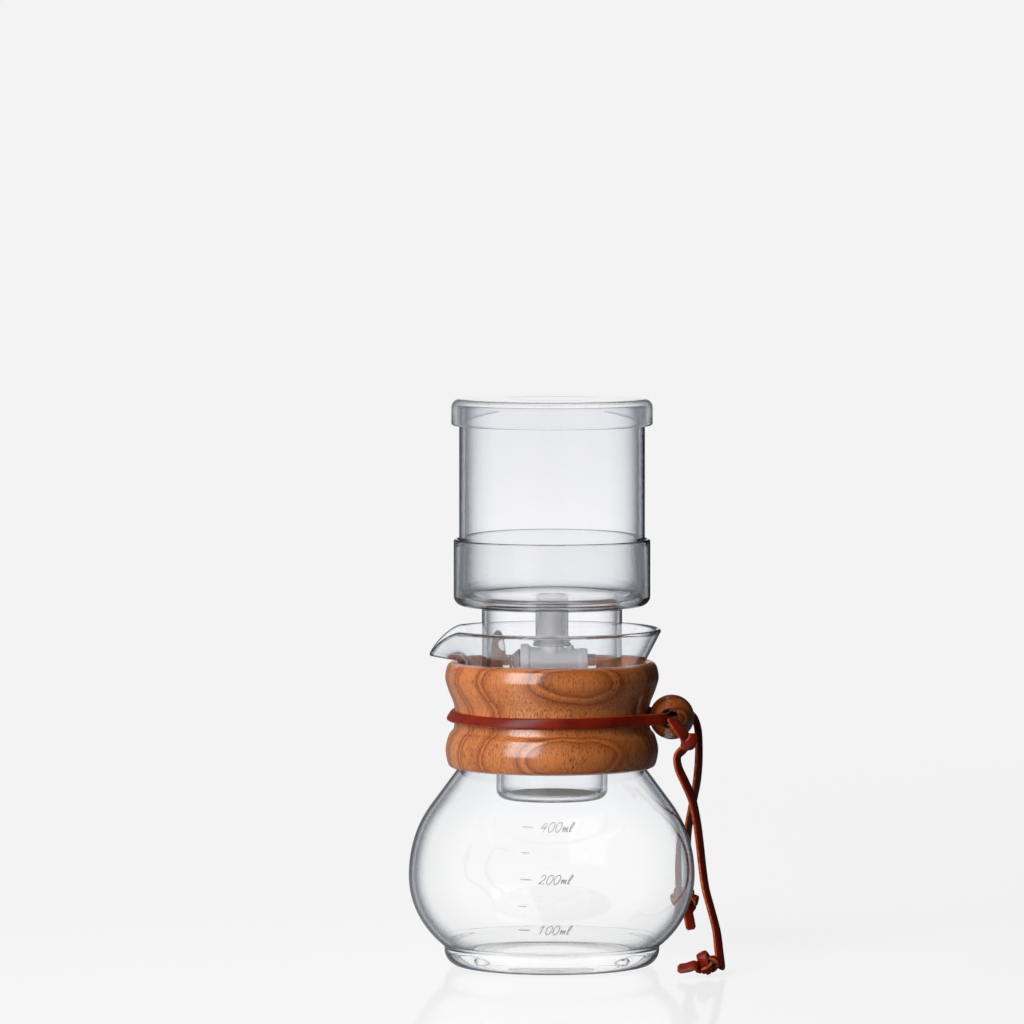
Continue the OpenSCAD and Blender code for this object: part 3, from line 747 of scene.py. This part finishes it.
def make_collar(material):
    """Two wooden halves round the neck, turned to its shape inside, their edges eased."""
    z, top = COLLAR_Z, COLLAR_TOP
    slack, eased = 0.2, 0.75
    inner = [(glass_r(z) + eased, z), (glass_r(z) + slack, z + 0.5)]
    inner += arc(NECK_C, NECK_ARC - 0.15, 180 + SHOULDER, 180 - FLARE, 20)
    inner += [(glass_r(top) + slack, top - 0.5), (glass_r(top) + eased, top)]
    loop = collar_outline() + inner[::-1]
    gap = math.degrees(SEAM / WAIST_R)
    bevel = {"width": 0.35 * MM, "segments": 3, "limit_method": "ANGLE",
             "angle_limit": math.radians(50)}
    for side, node in ((0, "collar_back"), (180, "collar_front")):
        shape = revolved(loop, 120, side + gap, side + 180 - gap)
        mesh = shaded(applied(make_mesh(node, [shape]), ("BEVEL", bevel)), 45)
        piece(node + "_wood", mesh, [material], "carafe", [node])


def make_bead(material):
    """The bead, its hole level and across the band's ends."""
    lay = (Matrix.Rotation(BEAD_TURN, 4, "Z") @ Matrix.Translation(BEAD_AT)
           @ Matrix.Rotation(-math.pi / 2, 4, "X"))
    end = 84 - BEAD_LIP
    outer = arc((0, 0), BEAD_R, -end, end, 40)
    mouth = BEAD_R * math.cos(math.radians(BEAD_LIP))
    curl = [(BEAD_BORE + 0.75, mouth - 0.05), (BEAD_BORE + 0.3, mouth - 0.5),
            (BEAD_BORE, mouth - 1.3), (BEAD_BORE, 0)]
    inner = curl + [(r, -z) for r, z in curl[::-1]][1:]
    shape = turned(revolved(cut_corners(outer + inner, 1), 96), lay)
    piece("bead_wood", make_mesh("bead_wood", [shape]), [material], "carafe",
          ["bead"])


# ---- Leather ----

THONG_W, THONG_T = 4.6, 1.8
SECTION = 24         # points round a strip
# The two tails from the bead to their knots, as in the CAD source.
LONG_ROUTE = [
    (49.4, -7.4, 100), (48.6, -12, 100), (48.2, -16, 99.6), (49, -18.4, 98), (51.2, -18.4, 95.4),
    (53.4, -16.2, 92.6), (54.4, -13, 90.4), (52.4, -12, 87.8), (50, -12, 84.8), (50.6, -12, 80),
    (53, -11, 74.6), (56, -9, 67.4), (58, -7, 58), (59.2, -5.6, 49), (60.2, -6, 40),
    (61.4, -8, 31.6), (63.6, -12, 23.4), (65.6, -17.4, 15.6), (66.4, -23.6, 8.6),
    (66.8, -29.4, 4.4), (66.4, -34.6, 3.2), (65, -38.6, 4.6)]
SHORT_ROUTE = [
    (49.6, -6, 100), (50.2, -2, 100.2), (50.8, 2, 100.6), (51.8, 5.8, 101.2), (54.2, 8.2, 101),
    (57.2, 7.6, 98.6), (58.6, 6, 94.4), (59, 4.6, 88), (58.8, 4, 80), (58, 5, 72), (56.6, 9, 64),
    (55.2, 15, 55), (54.4, 21.8, 46), (54.2, 24.4, 37), (54.6, 24.2, 28)]


def strip_section(width, thick):
    """A strip cut from hide, seen end on: flat faces, rounded corners."""
    power = 2 / 3
    out = []
    for k in range(SECTION):
        a = 2 * math.pi * (k + 0.5) / SECTION
        c, s = math.cos(a), math.sin(a)
        out.append((width / 2 * math.copysign(abs(c) ** power, c),
                    thick / 2 * math.copysign(abs(s) ** power, s)))
    return out


def swept(points, section, facing):
    """The section swept along the points. facing(share, point) is where the strip's flat side
    looks. The two ends are drawn in a little."""
    ends = 0.6
    n, m = len(points), len(section)
    verts, faces = [], []
    for i, p in enumerate(points):
        along = (points[min(i + 1, n - 1)] - points[max(i - 1, 0)]).normalized()
        width = along.cross(facing(i / (n - 1), p)).normalized()
        out = width.cross(along)
        k = ends if i in (0, n - 1) else 1.0
        verts += [tuple(p + k * (x * width + y * out)) for x, y in section]
    for i in range(n - 1):
        faces += [[i * m + k, (i + 1) * m + k, (i + 1) * m + (k + 1) % m, i * m + (k + 1) % m]
                  for k in range(m)]
    faces += [list(range(m)), list(range((n - 1) * m, n * m))[::-1]]
    return verts, faces


def between(stops):
    """A direction that passes through the stops, (share, direction), along a strip."""
    def facing(share, point):
        for (a, u), (b, v) in zip(stops, stops[1:]):
            if share <= b:
                return Vector(u).lerp(Vector(v), (share - a) / (b - a))
        return Vector(stops[-1][1])
    return facing


def away_from(centre, last=None):
    """Outward from a centre, turning to the direction last where the strip's end leaves it."""
    def facing(share, point):
        out = (point - Vector(centre)).normalized()
        return out.lerp(Vector(last), min(1, max(0, (share - 0.80) / 0.1))) if last else out
    return facing


def mark_edges(mesh):
    """Sets the attribute "edge" on a strip's two narrow sides, and on its cut ends."""
    narrow = 0.80
    total = len(mesh.vertices)
    values = []
    for i in range(total):
        a = 2 * math.pi * (i % SECTION + 0.5) / SECTION
        at_end = i < SECTION or i >= total - SECTION
        values.append(1.0 if at_end or abs(math.cos(a)) > narrow else 0.0)
    layer = mesh.attributes.new("edge", "FLOAT", "POINT")
    layer.data.foreach_set("value", values)


def strip(name, points, facing, material, replaces, width=THONG_W, thick=THONG_T):
    """A leather strip along the points, riding on the carafe."""
    mesh = make_mesh(name, [swept(points, strip_section(width, thick), facing)], 60)
    mark_edges(mesh)
    return piece(name, mesh, [material], "carafe", replaces)


def overhand(size, matrix, lead_in, lead_out):
    """The line of an overhand knot: a three-lobed loop whose ends leave at its foot."""
    height, open_by, steps = 1.9, 0.32, 32
    points = [Vector(p) for p in lead_in]
    for k in range(steps + 1):
        t = math.pi + open_by + 2 * (math.pi - open_by) * k / steps
        flat = Vector((math.sin(t) + 2 * math.sin(2 * t), math.cos(t) - 2 * math.cos(2 * t), 0))
        points.append(matrix @ (size / 3 * flat + Vector((0, 0, -height * math.sin(3 * t)))))
    return smooth_line(points + [Vector(p) for p in lead_out], 4)


def make_tails(material):
    long_facing = between([(0, (0.1, 0, 1)), (0.10, (0.3, -0.4, 1)), (0.22, (0.2, -1, 0.3)),
                           (0.36, (1.4, -0.9, 0)), (0.5, (1.4, -1, 0)), (0.68, (1.4, -1, 0.1)),
                           (0.84, (0.9, -0.8, 0.5)), (1, (0.3, 0.2, 1))])
    short_facing = between([(0, (0, 0, 1)), (0.16, (0.2, 0.2, 1)), (0.28, (1.2, -0.7, 0.2)),
                            (0.5, (1.3, -0.8, 0)), (0.75, (1, -1, 0.2)), (1, (0.6, -1, 0))])
    tails = []
    for name, route, facing, node in (
            ("thong_long", LONG_ROUTE, long_facing, "thong_tail_long"),
            ("thong_short", SHORT_ROUTE, short_facing, "thong_tail_short")):
        points = smooth_line(route, 8)
        tails.append((strip(name, points, facing, material, [node]), points))
    return tails


def make_knots(material):
    """The knots at the ends of the long and the short tail, and the half knot at the bead."""
    made = []
    for name, at, lean, size, route, end, last, node in (
            ("thong_knot_long", (61, -43, 5.5), (68, 24, -30), 4.1, LONG_ROUTE,
             [(56.6, -45.6, 4.9), (53.4, -45.6, 4.0), (49.6, -44.8, 3.4)], (0.1, -0.8, 0.7),
             "knot_long"),
            ("thong_knot_short", (54.8, 23.6, 24), (84, 10, 62), 3.7, SHORT_ROUTE,
             [(55.2, 22.8, 19.0), (55.7, 22.4, 15.4), (56.4, 22.0, 11.6)], (0.5, -1, 0.1),
             "knot_short")):
        turn = Matrix.Translation(at)
        for degrees, axis in zip(lean, "XYZ"):
            turn = turn @ Matrix.Rotation(math.radians(degrees), 4, axis)
        line = overhand(size, turn, [route[-1]], end)
        made.append(strip(name, line, away_from(at, last), material, [node], 4.4))
    axis = (Vector(LONG_ROUTE[6]) - Vector(LONG_ROUTE[4])).normalized()
    u = axis.cross(Vector((0, 1, 0))).normalized()
    v = axis.cross(u)
    centre = Vector((54.6, -14, 91.2))
    turns, steps, tall = 1.6, 44, 5.0
    coil = []
    for k in range(steps + 1):
        a = 2 * math.pi * turns * k / steps
        r = 2.5 + 0.35 * math.cos(0.5 * a)
        rise = (k / steps - 0.5) * tall
        coil.append(centre + r * (math.cos(a) * u + math.sin(a) * v) + axis * rise)
    made.append(strip("thong_half_knot", coil, away_from(centre), material, ["bead_knot"],
                      4.2, 1.5))
    return made


def lean_of(p):
    """How far the band is tilted there: most on the spout's side, none near the bead."""
    share = max(0.0, min(1.0, (12 - p.x) / 40))
    return share * share * (3 - 2 * share)


def make_band(material):
    """The thong round the collar, tilted on the bead's far side as a strip lies in a hollow."""
    half = 0.15 + THONG_T / 2
    mouth = Vector((BEAD_AT.x - half, -BEAD_R - 0.6))
    band_r = WAIST_R + half
    leave = math.atan2(mouth.y, mouth.x) - math.acos(band_r / mouth.length)
    first = band_r * Vector((math.cos(leave), math.sin(leave)))
    plan = [Vector((mouth.x, y)) for y in (-0.4, -4, -7.4)] + [Vector((mouth.x - 0.15, -8.8))]
    plan += [first.lerp(mouth, share) for share in (0.9, 0.8, 0.4)]
    plan += [Vector(p) for p in arc((0, 0), band_r, math.degrees(leave), -180, 32)]
    plan += [Vector((p.x, -p.y)) for p in plan[:-1][::-1]]
    turn = Matrix.Rotation(BEAD_TURN, 4, "Z")
    line = []
    for p in smooth_line([(p.x, p.y, 0) for p in plan], 5):
        out = p.normalized()
        hang = 0.4 * (out.y - out.x) * lean_of(p)
        line.append(turn @ (p + out * 0.5 * lean_of(p) + Vector((0, 0, BEAD_AT.z + hang))))

    def facing(share, point):
        flat = turn.inverted() @ Vector((point.x, point.y, 0))
        most = 34    # degrees
        roll = math.radians(most * lean_of(flat))
        out = Vector((point.x, point.y, 0)).normalized()
        if flat.x > 30 and abs(flat.y) < 20:
            out = turn @ Vector((1, 0, 0))
        return math.cos(roll) * out + math.sin(roll) * Vector((0, 0, 1))

    strip("thong_round_collar", line, facing, material, ["thong_band"])
    cross = [turn @ (BEAD_AT + Vector((x, y, 0)))
             for x, y in ((-2.2, -6), (-1.2, -3), (0, 0), (1.2, 3), (2.2, 6))]
    strip("thong_crossing", smooth_line(cross, 8), lambda share, point: Vector((1, -0.3, 0)),
          material, [], 4.4, 1.6)


# ---- Volume marks, as strokes of a pen on the glass ----

# Each letter's strokes, in a cell 1 high.
GLYPHS = {
    "0": [[(0.30, 1.0), (0.08, 0.80), (0.02, 0.35), (0.16, 0.0), (0.40, 0.12), (0.52, 0.6),
           (0.46, 0.92), (0.30, 1.0), (0.16, 0.9)]],
    "1": [[(0.08, 0.72), (0.34, 1.0), (0.26, 0.5), (0.20, 0.0)]],
    "2": [[(0.06, 0.74), (0.20, 0.97), (0.44, 0.92), (0.44, 0.62), (0.22, 0.30), (0.0, 0.03),
           (0.14, 0.14), (0.34, 0.02), (0.52, 0.12)]],
    "4": [[(0.30, 1.0), (0.14, 0.66), (0.02, 0.40), (0.26, 0.42), (0.50, 0.46)],
          [(0.50, 0.96), (0.38, 0.5), (0.30, 0.0)]],
    "m": [[(0.0, 0.36), (0.10, 0.48), (0.06, 0.0)], [(0.07, 0.12), (0.24, 0.48), (0.26, 0.0)],
          [(0.27, 0.12), (0.44, 0.48), (0.44, 0.08), (0.58, 0.06)]],
    "l": [[(0.0, 0.10), (0.22, 0.55), (0.30, 0.95), (0.16, 0.9), (0.06, 0.4), (0.06, 0.04),
           (0.26, 0.12)]],
}
# Height, the line's two ends, the text and its place.
MARKS = [(60.3, -12.0, -7.6, "400ml", -5.0), (50.5, -12.4, -9.2, "", 0),
         (40.1, -12.8, -8.4, "200ml", -5.6), (29.3, -13.4, -10.2, "", 0),
         (19.6, -13.6, -8.8, "100ml", -6.0)]


def on_glass(x, z):
    """The point just proud of the bulb's front at x and z."""
    r = bulb_r(z) + 0.05
    return (x, -math.sqrt(r * r - x * x), z)


def pen_stroke(points, width):
    """A flat ribbon on the bulb's front along points (x, z), thinner at its ends."""
    line = smooth_line([(x, z, 0) for x, z in points], 6)
    verts, faces = [], []
    for i, p in enumerate(line):
        d = (line[min(i + 1, len(line) - 1)] - line[max(i - 1, 0)]).normalized()
        share = i / (len(line) - 1)
        w = width / 2 * (0.55 + 0.45 * abs(math.sin(math.pi * share)) ** 0.5)
        side = Vector((-d.y, d.x)) * w
        verts += [on_glass(p.x - side.x, p.y - side.y), on_glass(p.x + side.x, p.y + side.y)]
        if i:
            k = 2 * i
            faces.append([k - 2, k - 1, k + 1, k])
    return verts, faces


def make_marks(material):
    height, slant, wide = 3.6, 0.34, 1.2
    bold, fine = 0.50, 0.40
    shapes = []
    for z, start, end, text, x in MARKS:
        shapes.append(pen_stroke([(start, z + 0.05), ((start + end) / 2, z), (end, z - 0.05)],
                                 bold if text else fine))
        for letter in text:
            for line in GLYPHS[letter]:
                shapes.append(pen_stroke([(x + height * (gx * wide + slant * gy),
                                           z - height / 2 + height * gy) for gx, gy in line],
                                         bold))
            x += height * wide * {"m": 0.64, "l": 0.34}.get(letter, 0.66)
    piece("volume_marks", make_mesh("volume_marks", shapes), [material], "carafe")


# ---- Floor, world and light ----

PAPER = 0.896        # the pale background
SEEN_THROUGH = 1.0   # what glass shows of it
BACKDROP = 0.80      # what gloss shows of it, straight behind the tower
WINDOW = 0.22        # what gloss shows of the left side
DIM = 0.02           # and of the rest of the room
FILL_LEFT = 0.62     # light that it sheds on the object from the left
FILL = 0.10          # from behind and above
FILL_RIGHT = 0.01    # from the right
WHITE = (1, 1, 1, 1)
FLOOR_MATT = 0.19    # how much of the light on it the floor's matt part gives back
FLOOR_GLOSS = 0.12   # how much of the floor is gloss
FLOOR_GLOW = 0.81    # the floor's own share of the background


def surround(p, way):
    """Strength of the surroundings for each kind of ray that travels that way."""
    behind = p.node("SeparateXYZ", Vector=way, out="Y")
    left = p.node("VectorMath", {"operation": "DOT_PRODUCT"}, i0=way, i1=(-0.95, 0.3, 0),
                  out="Value")
    left = p.math("MULTIPLY_ADD", left, 0.5, 0.5)
    mirrored = p.math("ADD", p.ramp(behind, (0.980, (DIM,)), (0.996, (BACKDROP,))),
                      p.ramp(left, (0.55, (0.0,)), (0.9, (WINDOW,))))
    value = p.ramp(left, (0.25, (FILL_RIGHT,)), (0.5, (FILL,)), (0.95, (FILL_LEFT,)))
    rays = p.tree.nodes.new("ShaderNodeLightPath")
    for flag, strength in (("Is Glossy Ray", mirrored), ("Is Transmission Ray", SEEN_THROUGH),
                           ("Is Camera Ray", PAPER)):
        node = p.tree.nodes.new("ShaderNodeMix")
        p.put(node, "Factor", rays.outputs[flag])
        p.put(node, "A", value)
        p.put(node, "B", strength)
        value = node.outputs[0]
    return value


def make_world():
    world = bpy.data.worlds.new("studio")
    scene.world = world
    world.use_nodes = True
    p = Nodes(world.node_tree)
    background = p.tree.nodes["Background"]
    p.put(background, "Color", WHITE)
    p.put(background, "Strength", surround(p, p.node("TexCoord", out="Generated")))


def make_floor():
    """A wide disc of pale paper, a little glossy, that fades into the background."""
    p = Paint("floor_paper")
    p.tree.nodes.remove(p.shader)
    point = p.node("TexCoord", out="Object")
    far = p.node("VectorMath", {"operation": "LENGTH"}, i0=point, out="Value")
    share = p.ramp(p.math("DIVIDE", far, 2.0), (0.12, (0.0,)), (0.6, (1.0,)))
    tooth = p.bump(p.noise(900, 3), 0.1, 0.0002)
    ground = surround(p, p.node("VectorMath", {"operation": "NORMALIZE"}, i0=point))
    matt = p.node("BsdfDiffuse", Color=(*[FLOOR_MATT] * 3, 1), Normal=tooth)
    gloss = p.node("BsdfAnisotropic", Color=WHITE, Roughness=0.06)
    sheen = p.node("MixShader", Fac=FLOOR_GLOSS, i1=matt, i2=gloss)
    glow = p.node("Emission", Color=WHITE, Strength=p.math("MULTIPLY", ground, FLOOR_GLOW))
    lit = p.node("AddShader", i0=glow, i1=sheen)
    distant = p.node("Emission", Color=WHITE, Strength=ground)
    shader = p.node("MixShader", Fac=share, i1=lit, i2=distant)
    p.put(p.tree.nodes["Material Output"], "Surface", shader)
    rings, steps, z = 24, 96, -0.0001
    verts, faces = [(0, 0, z)], []
    for j in range(rings):
        verts += [(x, y, z) for x, y in arc((0, 0), 0.02 * 1.35 ** j, 0, 360, steps)[:-1]]
        for k in range(steps):
            a, b = 1 + j * steps + k, 1 + j * steps + (k + 1) % steps
            faces.append([a - steps, a, b, b - steps] if j else [0, a, b])
    mesh = bpy.data.meshes.new("floor")
    mesh.from_pydata(verts, [], faces)
    mesh.materials.append(p.material)
    placed("floor", mesh)


def make_lamp(spared):
    """A soft box to the left of the camera. The spared pieces neither mirror nor stop it."""
    data = bpy.data.lights.new("key", "AREA")
    data.shape = "RECTANGLE"
    data.size, data.size_y = 1.0, 1.5
    data.energy = 30.0
    lamp = placed("key", data)
    lamp.location = (-0.817, -1.258, 0.74)
    way = Vector((0, 0, 0.12)) - lamp.location
    lamp.rotation_euler = way.to_track_quat("-Z", "Y").to_euler()
    group = bpy.data.collections.new("key_spared")
    lamp.light_linking.receiver_collection = group
    lamp.light_linking.blocker_collection = group
    for obj in spared:
        group.objects.link(obj)
    for member in group.collection_objects:
        member.light_linking.link_state = "EXCLUDE"


# ---- The whole ----

make_camera()
thong = leather()
tails = make_tails(thong)
knots = make_knots(thong)
make_band(thong)

# Painted shade on the glass: darker and bluer towards edges, rims and corners, and darker above a
# given height.
vessel_glass = clear_glass("vessel_glass", (0.985, 0.985, 0.988), THIN_EDGE_SHADE, 0.16,
                           (0.165, 0.213, (0.932, 0.934, 0.950)))
dripper_glass = clear_glass("dripper_glass", (0.985, 0.987, 0.990), THIN_EDGE_SHADE, 0.16,
                            (0.140, 0.148, (0.950, 0.952, 0.962)))
carafe_glass = clear_glass("carafe_glass", (1.0, 1.0, 1.0), BULB_EDGE_SHADE, 0.24,
                           (0.056, 0.079, (0.952, 0.960, 0.980)))
frost = ground_glass()
make_carafe(carafe_glass)
make_dripper(dripper_glass)
make_filter(paper())
make_vessel(vessel_glass, frost)
make_lid(clear_glass("lid_clear", (0.982, 0.980, 0.990), LID_EDGE_SHADE, 0.06))
tap_glass = clear_glass("tap_glass", (0.940, 0.944, 0.956), KEY_EDGE_SHADE)
make_barrel(frost, tap_glass)
make_key(tap_glass, frost)

make_collar(wood("collar_wood", gloss=0.21, pale=(0.67, 0.225, 0.060),
                 middle=(0.46, 0.118, 0.023), dark=(0.22, 0.048, 0.009),
                 pore=(0.10, 0.019, 0.005), pith=(-0.0146, 0.0650), ring=0.0092, phase=0.55))
make_bead(wood("bead_wood", gloss=0.06, pale=(0.36, 0.085, 0.016),
               middle=(0.20, 0.038, 0.007), dark=(0.08, 0.014, 0.004),
               pore=(0.03, 0.006, 0.002), pith=(0.040, 0.020), ring=0.0045, phase=0.0))
make_marks(enamel())

make_world()
make_floor()
make_lamp([o for o in scene.objects if o.name.endswith("_glass") or o.name == "tap_key"])

# A ray that crosses the tower meets many faces of glass, and echoes between them.
cycles = scene.cycles
cycles.max_bounces = cycles.transmission_bounces = cycles.glossy_bounces = 72
cycles.diffuse_bounces = 3
cycles.caustics_reflective = False
cycles.sample_clamp_indirect = 6.0
